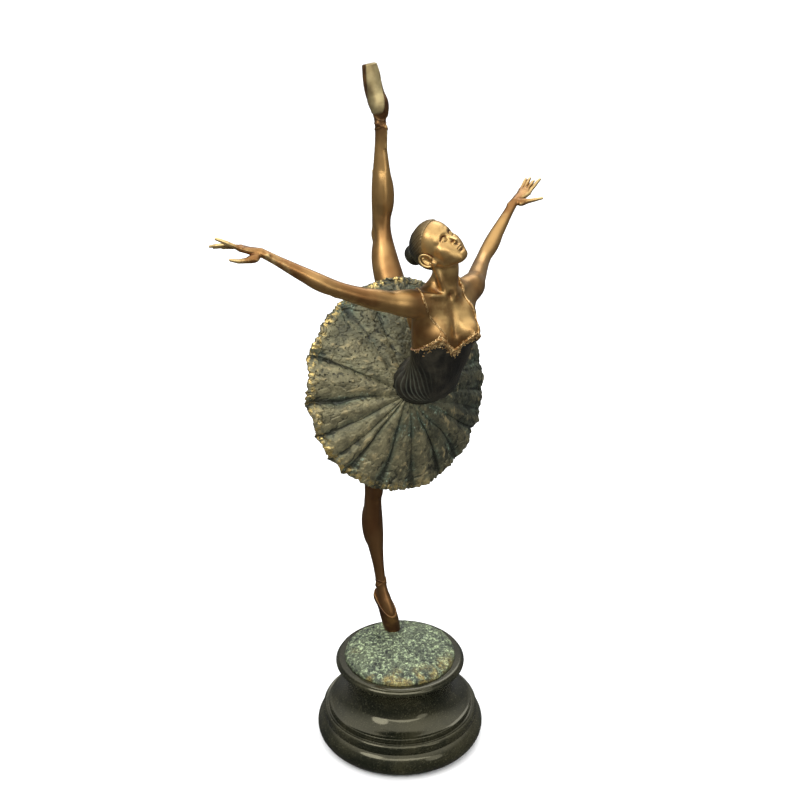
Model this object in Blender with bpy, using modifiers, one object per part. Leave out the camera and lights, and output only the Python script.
"""Bronze dancer statuette on a turned marble base.

World frame: metres, +Z up, origin at the centre of the felt underside.
The viewer's side is -Y.  The dancer stands on one pointe, the other leg
straight up behind, so the tutu stands almost upright and faces -Y and +X.
"""
import math

import bmesh
import bpy
from mathutils import Matrix, Vector
from mathutils.bvhtree import BVHTree

MM = 0.001
GAP = 0.3 * MM            # clearance between pieces that touch

# ---------------------------------------------------------------- driving sizes
FELT_RADIUS = 61 * MM
FELT_TOP = 2 * MM
PLINTH_TOP = 31 * MM      # joint between plinth and neck
NECK_TOP = 65 * MM        # joint between neck and top disc
MARBLE_TOP = 77 * MM      # face the ground cap lies on
ROD_RADIUS = 3 * MM
COUNTERBORE_RADIUS = 14 * MM
COUNTERBORE_TOP = 14 * MM
WASHER_THICKNESS = 1.6 * MM
NUT_HEIGHT = 5 * MM
NUT_ACROSS_CORNERS = 11.5 * MM
SPIGOT_RADIUS = 7 * MM
GROUND_RADIUS = 46 * MM
GROUND_TOP = 86.5 * MM
TURN_STEPS = 40
PLINTH_RADIUS = 70 * MM   # widest part of the bullnose foot
PLINTH_STEP_RADIUS = 65 * MM
NECK_FOOT_RADIUS = 60.3 * MM
NECK_WAIST_RADIUS = 42.8 * MM
NECK_HEAD_RADIUS = 46.6 * MM
DISC_RADIUS = 53.5 * MM
DISC_FOOT_RADIUS = 46.8 * MM
DISC_TOP_RADIUS = 49.6 * MM
WASHER_RADIUS = 9 * MM
ROD_TOP = 79.5 * MM
SPIGOT_FOOT = 68.3 * MM
CHAMFER = 0.5 * MM

# Stations along a path where the castings are joined.
ANKLE_STATION = 1.985
HIP_STATION = 0.30
WAIST_STATION = 3.15
NECK_STATION = 1.6
SHOULDER_STATION = 1.10

# Length and radius of the locating pins.
BODY_PIN = (12 * MM, 2.0 * MM)
ANKLE_PIN = (9 * MM, 1.25 * MM)
BUN_PIN = (7 * MM, 1.25 * MM)
WRIST_PIN = (8 * MM, 1.0 * MM)
FOOT_SPIKE = (16 * MM, 1.25 * MM)

TUTU_RADIUS = 85.5 * MM
TUTU_DROOP = 38 * MM      # how far the rim lies behind the hip line
TUTU_SAG = 6 * MM         # how far the rim hangs below the hip axis
TUTU_BORE = 16 * MM
TUTU_PLEATS = 24
TUTU_SPANS = 5
PLEAT_DEPTH = 2.6 * MM
LEG_PUSH = 9 * MM         # how far the raised leg pushes the rim forward
LEG_SPREAD = 0.5          # half angle, in radians, of the rim that the leg pushes
TUTU_AZIMUTH = math.radians(36)
TUTU_ELEVATION = math.radians(18)

STRAP_RADIUS = 0.55 * MM
STRAP_LIFT = 0.7 * MM     # a wire laid over a rounded shoulder bridges its hollows
STRAP_POINTS = 27

# Centres of the dancer's joints, in millimetres.
SKELETON = {
    "standing_toe": (-5.0, 24.0, 82.0),
    "standing_ankle": (-15.6, 33.0, 122.5),
    "standing_knee": (-22.0, 45.0, 207.0),
    "standing_hip": (-7.0, 38.0, 296.0),
    "raised_hip": (6.0, 45.0, 328.0),
    "raised_knee": (-14.5, 92.0, 416.0),
    "raised_ankle": (-15.5, 99.0, 504.0),
    "raised_toe": (-24.0, 105.0, 547.0),
    "tail": (-15.0, 61.5, 301.5),
    "seat": (-11.0, 56.0, 304.5),
    "pelvis": (-1.0, 42.0, 311.0),
    "basque": (20.0, 15.0, 322.0),
    "waist": (27.0, 3.0, 336.0),
    "ribs": (31.0, -4.0, 355.0),
    "bust": (32.5, -7.0, 374.0),
    "neckline": (40.0, -22.0, 371.0),
    "collar": (32.0, -7.0, 388.0),
    "nape": (32.0, -8.0, 400.0),
    "skull_base": (33.0, -11.5, 421.0),
    "head": (27.5, -11.0, 435.0),
    "right_shoulder": (8.0, -32.0, 398.0),
    "right_elbow": (-43.5, -62.0, 420.5),
    "right_wrist": (-93.5, -70.0, 449.0),
    "right_fingertip": (-127.5, -72.0, 457.0),
    "left_shoulder": (53.0, 22.0, 391.0),
    "left_elbow": (67.5, 78.0, 401.0),
    "left_wrist": (91.5, 112.0, 434.0),
    "left_fingertip": (118.0, 132.0, 443.0),
}


def joint(name):
    return Vector(SKELETON[name]) * MM


CHEST_FRONT = Vector((0.72, -0.64, 0.25)).normalized()
NECKLINE_UP = Vector((-0.28, 0.23, 1.0)).normalized()
STANDING_FRONT = Vector((0.57, -0.82, 0.0))
RAISED_FRONT = Vector((-0.80, 0.60, 0.0))
RAISED_INSTEP = Vector((-0.50, 0.87, 0.0))
HEAD_AZIMUTH = math.radians(46)
HEAD_PITCH = math.radians(46)
HEAD_ROLL = math.radians(18)

# Limb sections: station along the limb (0 first joint, 1 second, 2 third),
# then half width, depth to the front and depth to the back in millimetres.
LEG_RINGS = (
    (-0.15, 16.0, 13.0, 15.0),
    (0.00, 17.5, 14.5, 16.5),
    (0.20, 16.0, 14.5, 15.5),
    (0.45, 13.8, 13.0, 13.0),
    (0.64, 11.6, 11.2, 10.8),
    (0.82, 9.2, 9.8, 9.0),
    (0.94, 7.8, 9.0, 7.8),
    (1.02, 7.2, 8.6, 7.6),
    (1.14, 7.2, 6.6, 9.6),
    (1.28, 8.0, 5.8, 11.6),
    (1.43, 7.6, 5.6, 10.8),
    (1.58, 5.8, 5.2, 7.6),
    (1.72, 4.6, 4.9, 5.4),
    (1.86, 4.2, 4.6, 4.7),
    (2.04, 4.5, 4.9, 4.9),
)
SHOE_RINGS = (
    (-0.06, 4.5, 4.9, 4.9),
    (0.12, 5.2, 6.2, 8.4),
    (0.24, 5.8, 8.0, 8.8),
    (0.40, 6.4, 9.0, 6.2),
    (0.60, 6.9, 8.4, 5.2),
    (0.76, 6.9, 7.2, 5.2),
    (0.90, 5.8, 5.0, 4.6),
    (1.00, 4.2, 3.5, 3.4),
)
ARM_RINGS = (
    (0.35, 8.0, 9.0, 9.0),
    (0.70, 9.4, 10.0, 10.0),
    (1.00, 9.8, 9.8, 9.8),
    (1.18, 9.2, 9.0, 9.0),
    (1.42, 7.6, 7.4, 7.6),
    (1.70, 6.6, 6.4, 6.8),
    (1.95, 6.0, 6.0, 6.2),
    (2.10, 5.9, 6.0, 6.2),
    (2.30, 5.9, 5.8, 5.8),
    (2.55, 5.0, 4.6, 4.6),
    (2.80, 4.0, 3.3, 3.3),
    (3.08, 3.8, 2.9, 2.9),
)
TORSO_RINGS = (
    ("tail", 11.0, 8.0, 9.0),
    ("seat", 20.0, 13.5, 16.0),
    ("pelvis", 30.0, 20.0, 23.0),
    ("basque", 27.0, 20.0, 20.0),
    ("waist", 22.5, 18.0, 17.0),
    ("ribs", 27.0, 21.0, 18.5),
    ("bust", 31.0, 24.5, 20.0),
    ("collar", 32.0, 17.0, 17.5),
    ("nape", 24.0, 10.5, 12.5),
)
# Head sections: height over the head's centre, forward shift of the
# section's centre, half width, depth to the face and depth to the nape.
HEAD_RINGS = (
    (-18.5, 9.5, 5.2, 4.4, 6.5),
    (-16.0, 7.6, 8.2, 8.0, 9.5),
    (-11.0, 4.0, 10.4, 12.0, 11.8),
    (-5.5, 1.5, 12.4, 14.4, 15.0),
    (0.0, 0.0, 13.8, 15.6, 17.8),
    (5.5, 0.0, 14.6, 15.8, 18.8),
    (11.0, -1.0, 14.2, 15.0, 17.8),
    (15.5, -2.0, 11.8, 12.4, 15.0),
    (18.2, -2.5, 8.6, 9.0, 10.8),
    (19.6, -3.0, 5.0, 5.2, 6.2),
)

# ------------------------------------------------------------------ collections
for old_object in list(bpy.data.objects):
    bpy.data.objects.remove(old_object, do_unlink=True)

scene = bpy.context.scene
parts = bpy.data.collections.new("dancer_statuette")
cutters = bpy.data.collections.new("dancer_cutters")
scene.collection.children.link(parts)
scene.collection.children.link(cutters)


# --------------------------------------------------------------------- materials
def finish(name, colour, roughness, metallic):
    """A Principled material with one colour, roughness and metallic value."""
    material = bpy.data.materials.new(name)
    material.use_nodes = True
    shader = material.node_tree.nodes["Principled BSDF"]
    shader.inputs["Base Color"].default_value = (*colour, 1.0)
    shader.inputs["Roughness"].default_value = roughness
    shader.inputs["Metallic"].default_value = metallic
    return material


def skin_bronze():
    return finish("skin_bronze", (0.42, 0.21, 0.08), 0.38, 0.85)


def skirt_bronze():
    return finish("skirt_bronze", (0.13, 0.14, 0.10), 0.60, 0.60)


def bodice_bronze():
    return finish("bodice_bronze", (0.06, 0.055, 0.045), 0.50, 0.70)


def hair_bronze():
    return finish("hair_bronze", (0.05, 0.05, 0.03), 0.45, 0.75)


def shoe_bronze():
    return finish("shoe_bronze", (0.46, 0.30, 0.13), 0.42, 0.80)


def ground_bronze():
    return finish("ground_bronze", (0.12, 0.22, 0.17), 0.70, 0.40)


def strap_bronze():
    return finish("strap_bronze", (0.60, 0.42, 0.18), 0.35, 0.90)


def marble():
    return finish("marble", (0.035, 0.035, 0.025), 0.12, 0.0)


def felt():
    return finish("felt", (0.03, 0.08, 0.05), 0.95, 0.0)


def steel():
    return finish("steel", (0.55, 0.55, 0.56), 0.35, 1.0)


# ----------------------------------------------------------------- mesh builders
def place(name, mesh, material, collection=parts):
    """Put a mesh in a collection as an object with its material."""
    solid = bpy.data.objects.new(name, mesh)
    collection.objects.link(solid)
    if material is not None:
        mesh.materials.append(material)
        mesh.shade_smooth()
        mesh.set_sharp_from_angle(angle=math.radians(35))
    if collection is cutters:
        solid.hide_render = True
        solid.display_type = "WIRE"
    return solid


def mesh_from(name, shape):
    """Turn a bmesh into a mesh with its faces pointing out."""
    if shape.calc_volume(signed=True) < 0:
        bmesh.ops.reverse_faces(shape, faces=shape.faces)
    mesh = bpy.data.meshes.new(name)
    shape.to_mesh(mesh)
    shape.free()
    return mesh


def turned(name, profile, material, steps=TURN_STEPS):
    """Turn a closed (radius, height) profile about the Z axis."""
    mesh = bpy.data.meshes.new(name)
    count = len(profile)
    touches_axis = profile[0][0] == 0.0
    edges = [(index, index + 1) for index in range(count - 1)]
    if not touches_axis:
        edges.append((count - 1, 0))
    mesh.from_pydata([(radius, 0.0, height) for radius, height in profile], edges, [])
    solid = place(name, mesh, material)
    screw = solid.modifiers.new("turn", "SCREW")
    screw.axis = "Z"
    screw.angle = math.tau
    screw.steps = steps
    screw.render_steps = steps
    screw.use_merge_vertices = True
    screw.merge_threshold = 0.00001
    screw.use_smooth_shade = True
    return solid


def arc(centre_radius, centre_height, radius, start, end, steps):
    """Points of a profile arc; angles in degrees from the outward axis."""
    points = []
    for step in range(steps + 1):
        angle = math.radians(start + (end - start) * step / steps)
        points.append((centre_radius + radius * math.cos(angle),
                       centre_height + radius * math.sin(angle)))
    return points


def spline_point(points, station):
    """Place and direction on a Catmull-Rom curve; station 0 is the first point."""
    last = len(points) - 1
    segment = min(max(int(math.floor(station)), 0), last - 1)
    share = station - segment
    inner = points[segment], points[segment + 1]
    before = points[segment - 1] if segment > 0 else inner[0] * 2 - inner[1]
    after = points[segment + 2] if segment + 2 <= last else inner[1] * 2 - inner[0]
    if share < 0 or share > 1:
        direction = inner[1] - inner[0]
        return inner[0] + direction * share, direction.normalized()
    linear = inner[1] - before
    square = before * 2 - inner[0] * 5 + inner[1] * 4 - after
    cube = inner[0] * 3 - before - inner[1] * 3 + after
    place_ = (inner[0] * 2 + linear * share + square * share ** 2 + cube * share ** 3) / 2
    slope = (linear + square * (2 * share) + cube * (3 * share ** 2)) / 2
    return place_, slope.normalized()


def ring(centre, side, front, half_width, front_depth, back_depth, segments):
    """An egg-shaped section with its own front and back depth."""
    points = []
    for index in range(segments):
        angle = math.tau * index / segments
        depth = front_depth if math.sin(angle) > 0 else back_depth
        points.append(centre + side * (half_width * math.cos(angle))
                      + front * (depth * math.sin(angle)))
    return points


def loft(name, rings, material, collection=parts):
    """A closed solid through rings of equal point count."""
    shape = bmesh.new()
    rows = [[shape.verts.new(point) for point in points] for points in rings]
    for lower, upper in zip(rows, rows[1:]):
        for index in range(len(lower)):
            following = (index + 1) % len(lower)
            shape.faces.new((lower[index], lower[following], upper[following], upper[index]))
    shape.faces.new(reversed(rows[0]))
    shape.faces.new(rows[-1])
    return place(name, mesh_from(name, shape), material, collection)


def limb_rings(path, sections, front_hint, segments, grow=0.0):
    """Rings along a joint path; grow adds the same margin to every radius."""
    rings = []
    for station, half_width, front_depth, back_depth in sections:
        centre, direction = spline_point(path, station)
        side = direction.cross(front_hint).normalized()
        front = side.cross(direction)
        rings.append(ring(centre, side, front, half_width * MM + grow,
                          front_depth * MM + grow, back_depth * MM + grow, segments))
    return rings


def torso_rings(grow=0.0, segments=20):
    """Rings of the trunk from the seat to the nape."""
    path = [joint(section[0]) for section in TORSO_RINGS]
    across = joint("left_shoulder") - joint("right_shoulder")
    hips_across = Vector((math.cos(TUTU_AZIMUTH), math.sin(TUTU_AZIMUTH), 0.0))
    rings = []
    for index, (_, half_width, front_depth, back_depth) in enumerate(TORSO_RINGS):
        centre, direction = spline_point(path, index)
        twist = index / (len(TORSO_RINGS) - 1)
        side = (hips_across * (1 - twist) + across.normalized() * twist)
        side = (side - direction * side.dot(direction)).normalized()
        front = direction.cross(side)
        rings.append(ring(centre, side, front * -1, half_width * MM + grow,
                          front_depth * MM + grow, back_depth * MM + grow, segments))
    return rings


# -------------------------------------------------------------- cuts and unions
def combine(solid, other, operation):
    """Boolean a solid with another, which moves to the cutters."""
    boolean = solid.modifiers.new(other.name, "BOOLEAN")
    boolean.operation = operation
    boolean.object = other
    boolean.solver = "EXACT"


def trim(solid, point, normal, name):
    """Cut away what lies beyond a plane, less half the clearance."""
    reach = 0.25
    shape = bmesh.new()
    bmesh.ops.create_cube(shape, size=reach)
    turn = normal.to_track_quat("Z", "Y").to_matrix().to_4x4()
    middle = point + normal.normalized() * (reach / 2 - GAP / 2)
    shape.transform(Matrix.Translation(middle) @ turn)
    combine(solid, place(name, mesh_from(name, shape), None, cutters), "DIFFERENCE")


def cylinder_mesh(name, start, end, radius, segments):
    shape = bmesh.new()
    axis = end - start
    turn = axis.to_track_quat("Z", "Y").to_matrix().to_4x4()
    bmesh.ops.create_cone(shape, cap_ends=True, segments=segments, radius1=radius,
                          radius2=radius, depth=axis.length)
    shape.transform(Matrix.Translation((start + end) / 2) @ turn)
    return mesh_from(name, shape)


def pin(name, centre, direction, size, holders):
    """A steel locating pin across a casting joint, with its two blind bores."""
    length, radius = size
    half = direction.normalized() * (length / 2)
    place(name, cylinder_mesh(name, centre - half, centre + half, radius, 12), steel())
    grown = half + direction.normalized() * GAP
    bore_name = name + "_bore"
    bore_mesh = cylinder_mesh(bore_name, centre - grown, centre + grown, radius + GAP, 12)
    bore = place(bore_name, bore_mesh, None, cutters)
    for holder in holders:
        combine(holder, bore, "DIFFERENCE")


# ------------------------------------------------------------------- base pieces
def build_base():
    """Felt, three marble sections and the hardware that clamps them."""
    turned("felt_pad", [(0.0, FELT_TOP), (FELT_RADIUS, FELT_TOP), (FELT_RADIUS, 0.0),
                        (0.0, 0.0)], felt())
    bore = ROD_RADIUS + GAP
    foot = FELT_TOP + GAP
    plinth_top = PLINTH_TOP - GAP / 2
    plinth = [(bore, plinth_top), (PLINTH_STEP_RADIUS - 3.5 * MM, plinth_top)]
    plinth += arc(PLINTH_STEP_RADIUS - 3 * MM, 28 * MM, 3 * MM, 70, 0, 3)
    plinth += [(PLINTH_STEP_RADIUS, 24 * MM), (PLINTH_STEP_RADIUS - 0.8 * MM, 23 * MM)]
    plinth += arc(PLINTH_RADIUS - 11.5 * MM, 12.6 * MM, 11.5 * MM, 62, -62, 7)
    plinth += [(62 * MM, foot), (COUNTERBORE_RADIUS, foot),
               (COUNTERBORE_RADIUS, COUNTERBORE_TOP), (bore, COUNTERBORE_TOP)]
    turned("marble_plinth", plinth, marble())

    neck = [(bore, NECK_TOP - GAP / 2), (NECK_HEAD_RADIUS, NECK_TOP - GAP / 2),
            (44.8 * MM, 62 * MM), (43.2 * MM, 57 * MM), (NECK_WAIST_RADIUS, 50 * MM),
            (43.8 * MM, 45.5 * MM), (46.2 * MM, 41.5 * MM), (50 * MM, 38.6 * MM),
            (54.5 * MM, 36.4 * MM), (59.5 * MM, 34.6 * MM),
            (NECK_FOOT_RADIUS, 33.8 * MM), (NECK_FOOT_RADIUS, PLINTH_TOP + GAP / 2),
            (bore, PLINTH_TOP + GAP / 2)]
    turned("marble_neck", neck, marble())

    cap_bore = SPIGOT_RADIUS + GAP
    disc = [(cap_bore, MARBLE_TOP - GAP), (DISC_TOP_RADIUS, MARBLE_TOP - GAP),
            (52.2 * MM, 75.6 * MM), (53.3 * MM, 74 * MM), (DISC_RADIUS, 72.4 * MM),
            (52.3 * MM, 70.2 * MM), (50.2 * MM, 68.3 * MM), (48.4 * MM, 66.8 * MM),
            (DISC_FOOT_RADIUS, NECK_TOP + GAP / 2), (bore, NECK_TOP + GAP / 2),
            (bore, 68 * MM), (cap_bore, 68 * MM)]
    turned("marble_disc", disc, marble())

    washer_top = COUNTERBORE_TOP - GAP
    washer_foot = washer_top - WASHER_THICKNESS
    turned("washer", [(bore, washer_top), (WASHER_RADIUS, washer_top),
                      (WASHER_RADIUS, washer_foot), (bore, washer_foot)], steel(), 24)
    nut_top = washer_foot - GAP
    nut_foot = nut_top - NUT_HEIGHT
    nut_mesh = cylinder_mesh("nut", Vector((0, 0, nut_foot)), Vector((0, 0, nut_top)),
                             NUT_ACROSS_CORNERS / 2, 6)
    nut = place("nut", nut_mesh, steel())
    thread_mesh = cylinder_mesh("nut_thread", Vector((0, 0, 0)), Vector((0, 0, MARBLE_TOP)),
                                bore, 24)
    combine(nut, place("nut_thread", thread_mesh, None, cutters), "DIFFERENCE")
    rod_foot = nut_foot - 3 * CHAMFER
    turned("threaded_rod", [(0.0, ROD_TOP), (ROD_RADIUS - CHAMFER, ROD_TOP),
                            (ROD_RADIUS, ROD_TOP - CHAMFER), (ROD_RADIUS, rod_foot + CHAMFER),
                            (ROD_RADIUS - CHAMFER, rod_foot), (0.0, rod_foot)], steel(), 24)
    cap = [(0.0, GROUND_TOP), (12 * MM, GROUND_TOP - 0.2 * MM),
           (24 * MM, GROUND_TOP - 0.8 * MM), (34 * MM, GROUND_TOP - 1.8 * MM),
           (41 * MM, GROUND_TOP - 3.2 * MM), (45 * MM, GROUND_TOP - 5.6 * MM),
           (GROUND_RADIUS, MARBLE_TOP), (SPIGOT_RADIUS, MARBLE_TOP),
           (SPIGOT_RADIUS, SPIGOT_FOOT), (bore, SPIGOT_FOOT),
           (bore, ROD_TOP + GAP), (0.0, ROD_TOP + GAP)]
    return turned("ground_cap", cap, ground_bronze())


# ------------------------------------------------------------------------- legs
def leg_path(prefix):
    return [joint(prefix + "_hip"), joint(prefix + "_knee"), joint(prefix + "_ankle"),
            joint(prefix + "_toe")]


def build_leg(prefix, front, instep):
    """Leg and shoe castings that meet at the ribbon above the ankle."""
    path = leg_path(prefix)
    leg = loft(prefix + "_leg", limb_rings(path, LEG_RINGS, front, 14), skin_bronze())
    shoe_sections = [(2 + share, width, fore, aft) for share, width, fore, aft in SHOE_RINGS]
    shoe = loft(prefix + "_shoe", limb_rings(path, shoe_sections, instep, 14), shoe_bronze())
    ankle, direction = spline_point(path, ANKLE_STATION)
    trim(leg, ankle, direction, prefix + "_ankle_joint")
    trim(shoe, ankle, -direction, prefix + "_shoe_joint")
    pin(prefix + "_ankle_pin", ankle, direction, ANKLE_PIN, (leg, shoe))
    return leg, shoe


# ----------------------------------------------------------------- trunk pieces
def build_trunk():
    """Hips, bodice and chest: one lofted trunk parted at two joint planes."""
    hips = loft("hips", torso_rings(), bodice_bronze())
    bodice = loft("bodice", torso_rings(), bodice_bronze())
    chest = loft("chest", torso_rings(), skin_bronze())
    path = [joint(section[0]) for section in TORSO_RINGS]
    waist_point, waist_normal = spline_point(path, WAIST_STATION)
    trim(hips, waist_point, waist_normal, "waist_joint_below")
    trim(bodice, waist_point, -waist_normal, "waist_joint_above")
    trim(bodice, joint("neckline"), NECKLINE_UP, "neckline_joint_below")
    trim(chest, joint("neckline"), -NECKLINE_UP, "neckline_joint_above")
    for prefix, front in (("standing", STANDING_FRONT), ("raised", RAISED_FRONT)):
        stub_rings = limb_rings(leg_path(prefix), LEG_RINGS[:4], front, 14)
        stub = loft(prefix + "_thigh_stub", stub_rings, None, cutters)
        combine(hips, stub, "UNION")
    pin("waist_pin", waist_point, waist_normal, BODY_PIN, (hips, bodice))
    pin("neckline_pin", joint("neckline"), NECKLINE_UP, BODY_PIN, (bodice, chest))
    return hips, bodice, chest


def hip_joint(hips, leg, prefix):
    """Part a leg from the hips at a plane across the top of the thigh."""
    point, direction = spline_point(leg_path(prefix), HIP_STATION)
    trim(hips, point, direction, prefix + "_hip_joint_above")
    trim(leg, point, -direction, prefix + "_hip_joint_below")
    pin(prefix + "_hip_pin", point, direction, BODY_PIN, (hips, leg))


# ------------------------------------------------------------------- head pieces
def head_axes():
    """Face direction, crown direction and the dancer's left."""
    face = Vector((math.sin(HEAD_AZIMUTH) * math.cos(HEAD_PITCH),
                   -math.cos(HEAD_AZIMUTH) * math.cos(HEAD_PITCH), math.sin(HEAD_PITCH)))
    level = Vector((math.cos(HEAD_AZIMUTH), math.sin(HEAD_AZIMUTH), 0.0))
    upright = face.cross(level)
    left = level * math.cos(HEAD_ROLL) + upright * math.sin(HEAD_ROLL)
    crown = upright * math.cos(HEAD_ROLL) - level * math.sin(HEAD_ROLL)
    return face, crown, left


def build_head(chest):
    """Head with its neck, joined to the chest, and the bun at the back."""
    face, crown, left = head_axes()
    centre = joint("head")
    rings = []
    for height, shift, half_width, fore, aft in HEAD_RINGS:
        middle = centre + crown * (height * MM) + face * (shift * MM)
        rings.append(ring(middle, left, face, half_width * MM, fore * MM, aft * MM, 18))
    head = loft("head", rings, skin_bronze())
    bun_height = crown * (7.0 * MM)
    bun_centre = centre - face * (20.5 * MM) + bun_height
    joint_point = centre - face * (17.0 * MM) + bun_height
    trim(head, joint_point, -face, "bun_joint_inner")
    neck_path = [joint("collar"), joint("nape"), joint("skull_base"), joint("head")]
    neck_sections = ((0.4, 11.5, 11.5, 11.5), (1.0, 11.0, 10.5, 10.5), (1.4, 9.8, 9.6, 9.6),
                     (2.0, 10.0, 10.0, 10.0), (2.5, 9.0, 9.0, 9.0))
    neck_rings = limb_rings(neck_path, neck_sections, CHEST_FRONT, 16)
    combine(head, loft("neck_column", neck_rings, None, cutters), "UNION")
    combine(chest, loft("neck_root", neck_rings[:4], None, cutters), "UNION")
    point, direction = spline_point(neck_path, NECK_STATION)
    trim(head, point, -direction, "neck_joint_above")
    trim(chest, point, direction, "neck_joint_below")
    pin("neck_pin", point, direction, BODY_PIN, (head, chest))

    bun_rings = []
    for step in range(1, 8):
        angle = math.pi * step / 8
        middle = bun_centre + face * (7.0 * MM * math.cos(angle))
        radius = 8.5 * MM * math.sin(angle)
        bun_rings.append(ring(middle, left, crown, radius, radius, radius, 16))
    bun = loft("hair_bun", bun_rings, hair_bronze())
    trim(bun, joint_point, face, "bun_joint_outer")
    pin("bun_pin", joint_point, face, BUN_PIN, (head, bun))


# ------------------------------------------------------------------------- arms
def arm_path(side_name):
    return [joint("collar"), joint(side_name + "_shoulder"), joint(side_name + "_elbow"),
            joint(side_name + "_wrist"), joint(side_name + "_fingertip")]


def finger(name, base, tip, lift, radius):
    """One finger: a gently curved tapering loft with a rounded tip."""
    middle = (base + tip) / 2 + lift
    path = [base, middle, tip]
    sections = ((0.0, 1.15), (0.9, 1.0), (1.7, 0.85), (1.92, 0.62), (2.0, 0.3))
    rings = []
    for station, share in sections:
        centre, direction = spline_point(path, station)
        side = direction.orthogonal().normalized()
        upward = side.cross(direction)
        rings.append(ring(centre, side, upward, radius * share, radius * share,
                          radius * share, 8))
    return loft(name, rings, None, cutters)


def build_hand(side_name, palm_up):
    """Palm and five fingers in one casting; palm_up is the back-of-hand side."""
    path = arm_path(side_name)
    wrist = path[3]
    along = (path[4] - wrist).normalized()
    across = along.cross(palm_up).normalized()
    back = across.cross(along)
    palm_sections = ((-3.0, 3.8, 2.9), (2.5, 4.2, 2.9), (7.0, 5.8, 2.8), (12.0, 6.6, 2.5),
                     (16.0, 6.2, 2.0), (17.5, 5.2, 1.2))
    rings = []
    for reach, half_width, half_thickness in palm_sections:
        centre = wrist + along * (reach * MM)
        rings.append(ring(centre, across, back, half_width * MM, half_thickness * MM,
                          half_thickness * MM, 12))
    hand = loft(side_name + "_hand", rings, skin_bronze())
    fingers = (("index", -4.6, 17.5, -7.5, 5.0), ("middle", -1.6, 20.0, -2.5, -1.0),
               ("ring", 1.5, 18.5, 1.5, -3.5), ("little", 4.4, 14.5, 6.0, -1.0))
    for finger_name, offset, length, spread, raise_tip in fingers:
        base = wrist + along * (14.5 * MM) + across * (offset * MM)
        tip = wrist + along * ((15.5 + length) * MM) + across * (spread * MM)
        tip += back * (raise_tip * MM)
        piece = finger(side_name + "_" + finger_name, base, tip, back * (1.2 * MM), 1.75 * MM)
        combine(hand, piece, "UNION")
    thumb_base = wrist + along * (4.5 * MM) - across * (3.5 * MM)
    thumb_tip = wrist + along * (20 * MM) - across * (9.0 * MM) - back * (7.5 * MM)
    thumb = finger(side_name + "_thumb", thumb_base, thumb_tip, back * (-1.5 * MM), 2.1 * MM)
    combine(hand, thumb, "UNION")
    return hand


def build_arm(side_name, chest, front, palm_up):
    """Arm from the shoulder plane to the wrist plane, and its hand."""
    path = arm_path(side_name)
    arm = loft(side_name + "_arm", limb_rings(path, ARM_RINGS, front, 14), skin_bronze())
    stub = loft(side_name + "_shoulder_stub", limb_rings(path, ARM_RINGS[:4], front, 14),
                None, cutters)
    combine(chest, stub, "UNION")
    point, direction = spline_point(path, SHOULDER_STATION)
    trim(chest, point, direction, side_name + "_shoulder_joint_inner")
    trim(arm, point, -direction, side_name + "_shoulder_joint_outer")
    pin(side_name + "_shoulder_pin", point, direction, BODY_PIN, (chest, arm))
    hand = build_hand(side_name, palm_up)
    wrist = path[3]
    along = (path[4] - wrist).normalized()
    trim(arm, wrist, along, side_name + "_wrist_joint_inner")
    trim(hand, wrist, -along, side_name + "_wrist_joint_outer")
    pin(side_name + "_wrist_pin", wrist, along, WRIST_PIN, (arm, hand))


# ------------------------------------------------------------------------- tutu
def tutu_axes():
    """Outward axis of the tutu, its upward rim direction and its right."""
    out = Vector((math.sin(TUTU_AZIMUTH) * math.cos(TUTU_ELEVATION),
                  -math.cos(TUTU_AZIMUTH) * math.cos(TUTU_ELEVATION),
                  math.sin(TUTU_ELEVATION)))
    right = Vector((math.cos(TUTU_AZIMUTH), math.sin(TUTU_AZIMUTH), 0.0))
    return out, out.cross(right), right


def build_tutu(hips_room):
    """A pleated ring, thick at the hips and thin at the rim."""
    out, up, right = tutu_axes()
    centre = joint("basque")
    shares = [span / TUTU_SPANS for span in range(TUTU_SPANS + 1)]
    section = [(share, 1) for share in shares] + [(share, -1) for share in reversed(shares)]
    segments = TUTU_PLEATS * 4
    shape = bmesh.new()
    rows = []
    for share, face_sign in section:
        radius = TUTU_BORE + (TUTU_RADIUS - TUTU_BORE) * share
        half_thickness = (1.7 - 0.8 * share) * MM
        row = []
        for index in range(segments):
            angle = math.tau * index / segments
            pleat = math.cos(TUTU_PLEATS * angle) * PLEAT_DEPTH * share
            height = pleat + half_thickness * face_sign - TUTU_DROOP * share ** 1.25
            from_leg = min(angle, math.tau - angle)
            height += LEG_PUSH * share ** 2 * math.exp(-(from_leg / LEG_SPREAD) ** 2)
            ray = right * math.sin(angle) + up * math.cos(angle)
            sag = up * (TUTU_SAG * share)
            row.append(shape.verts.new(centre + ray * radius + out * height - sag))
        rows.append(row)
    for row, following_row in zip(rows, rows[1:] + rows[:1]):
        for index in range(segments):
            following = (index + 1) % segments
            shape.faces.new((row[index], row[following], following_row[following],
                             following_row[index]))
    skirt = place("tutu_skirt", mesh_from("tutu_skirt", shape), skirt_bronze())
    combine(skirt, hips_room, "DIFFERENCE")


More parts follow.
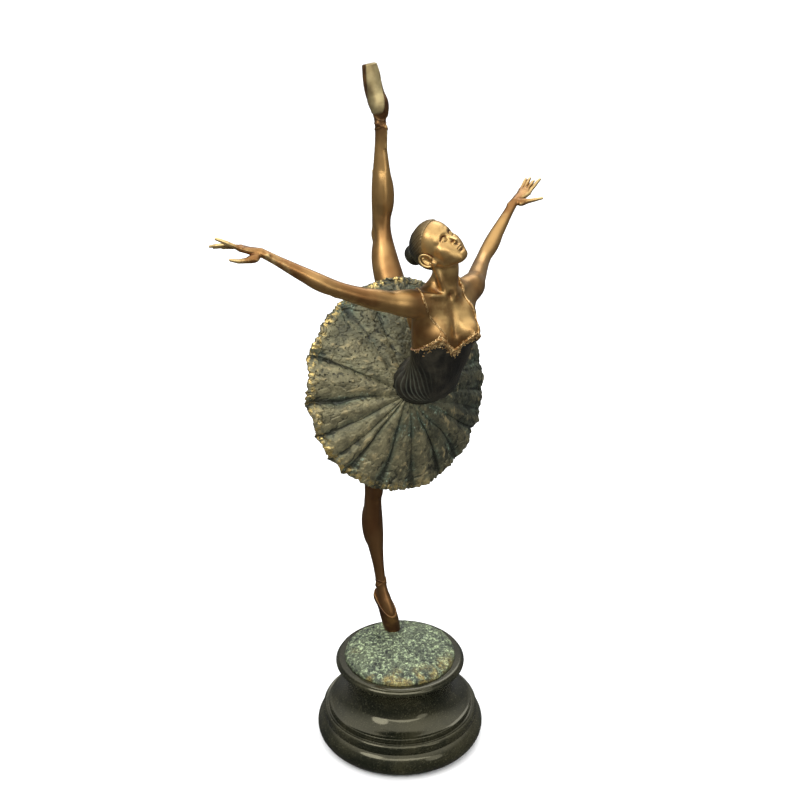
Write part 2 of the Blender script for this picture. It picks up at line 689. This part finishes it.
# ----------------------------------------------------------------------- straps
def build_straps(chest):
    """Two pairs of fine wires from the neckline over the shoulders."""
    bpy.context.view_layer.update()
    depsgraph = bpy.context.evaluated_depsgraph_get()
    skin = BVHTree.FromObject(chest, depsgraph)
    across = (joint("left_shoulder") - joint("right_shoulder")).normalized()
    middle = (joint("bust") + joint("collar")) / 2
    upward = CHEST_FRONT.cross(across)
    for side_name, sign in (("right", -1), ("left", 1)):
        for strand, outward in (("inner", 12.5), ("outer", 14.6)):
            points = []
            for step in range(STRAP_POINTS):
                angle = math.radians(-14 + 206 * step / (STRAP_POINTS - 1))
                ray = CHEST_FRONT * math.cos(angle) + upward * math.sin(angle)
                reach_out = outward * MM + 7.5 * MM * math.sin(angle)
                core = middle + across * (sign * reach_out)
                hit, normal, _, _ = skin.ray_cast(core + ray * 0.08, -ray)
                over_neckline = (hit - joint("neckline")).dot(NECKLINE_UP)
                if over_neckline > 1.2 * MM:
                    points.append(hit + normal * (STRAP_RADIUS + STRAP_LIFT))
            name = side_name + "_strap_" + strand
            curve = bpy.data.curves.new(name, "CURVE")
            curve.dimensions = "3D"
            curve.bevel_depth = STRAP_RADIUS
            curve.bevel_resolution = 1
            curve.use_fill_caps = True
            spline = curve.splines.new("POLY")
            spline.points.add(len(points) - 1)
            for place_, point in zip(spline.points, points):
                place_.co = (*point, 1.0)
            curve.materials.append(strap_bronze())
            wire = bpy.data.objects.new(name, curve)
            parts.objects.link(wire)


ground_cap = build_base()
standing_leg, standing_shoe = build_leg("standing", STANDING_FRONT, STANDING_FRONT)
raised_leg, raised_shoe = build_leg("raised", RAISED_FRONT, RAISED_INSTEP)
hips, bodice, chest = build_trunk()
hip_joint(hips, standing_leg, "standing")
hip_joint(hips, raised_leg, "raised")
build_head(chest)
build_arm("right", chest, Vector((0, -0.3, 1)), Vector((0.0, -0.35, 1.0)))
build_arm("left", chest, Vector((0, -0.3, 1)), Vector((0.0, -0.35, 1.0)))
hips_room = loft("hips_room", torso_rings(GAP), None, cutters)
build_tutu(hips_room)
shoe_room_rings = limb_rings(leg_path("standing"),
                             [(2 + share, width, fore, aft)
                              for share, width, fore, aft in SHOE_RINGS],
                             STANDING_FRONT, 14, GAP)
toe_end = loft("shoe_pocket", shoe_room_rings, None, cutters)
combine(ground_cap, toe_end, "DIFFERENCE")
toe, toe_direction = spline_point(leg_path("standing"), 3.0)
pin("foot_spike", toe + toe_direction * (-6 * MM), Vector((0, 0, 1)), FOOT_SPIKE,
    (standing_shoe, ground_cap))
build_straps(chest)
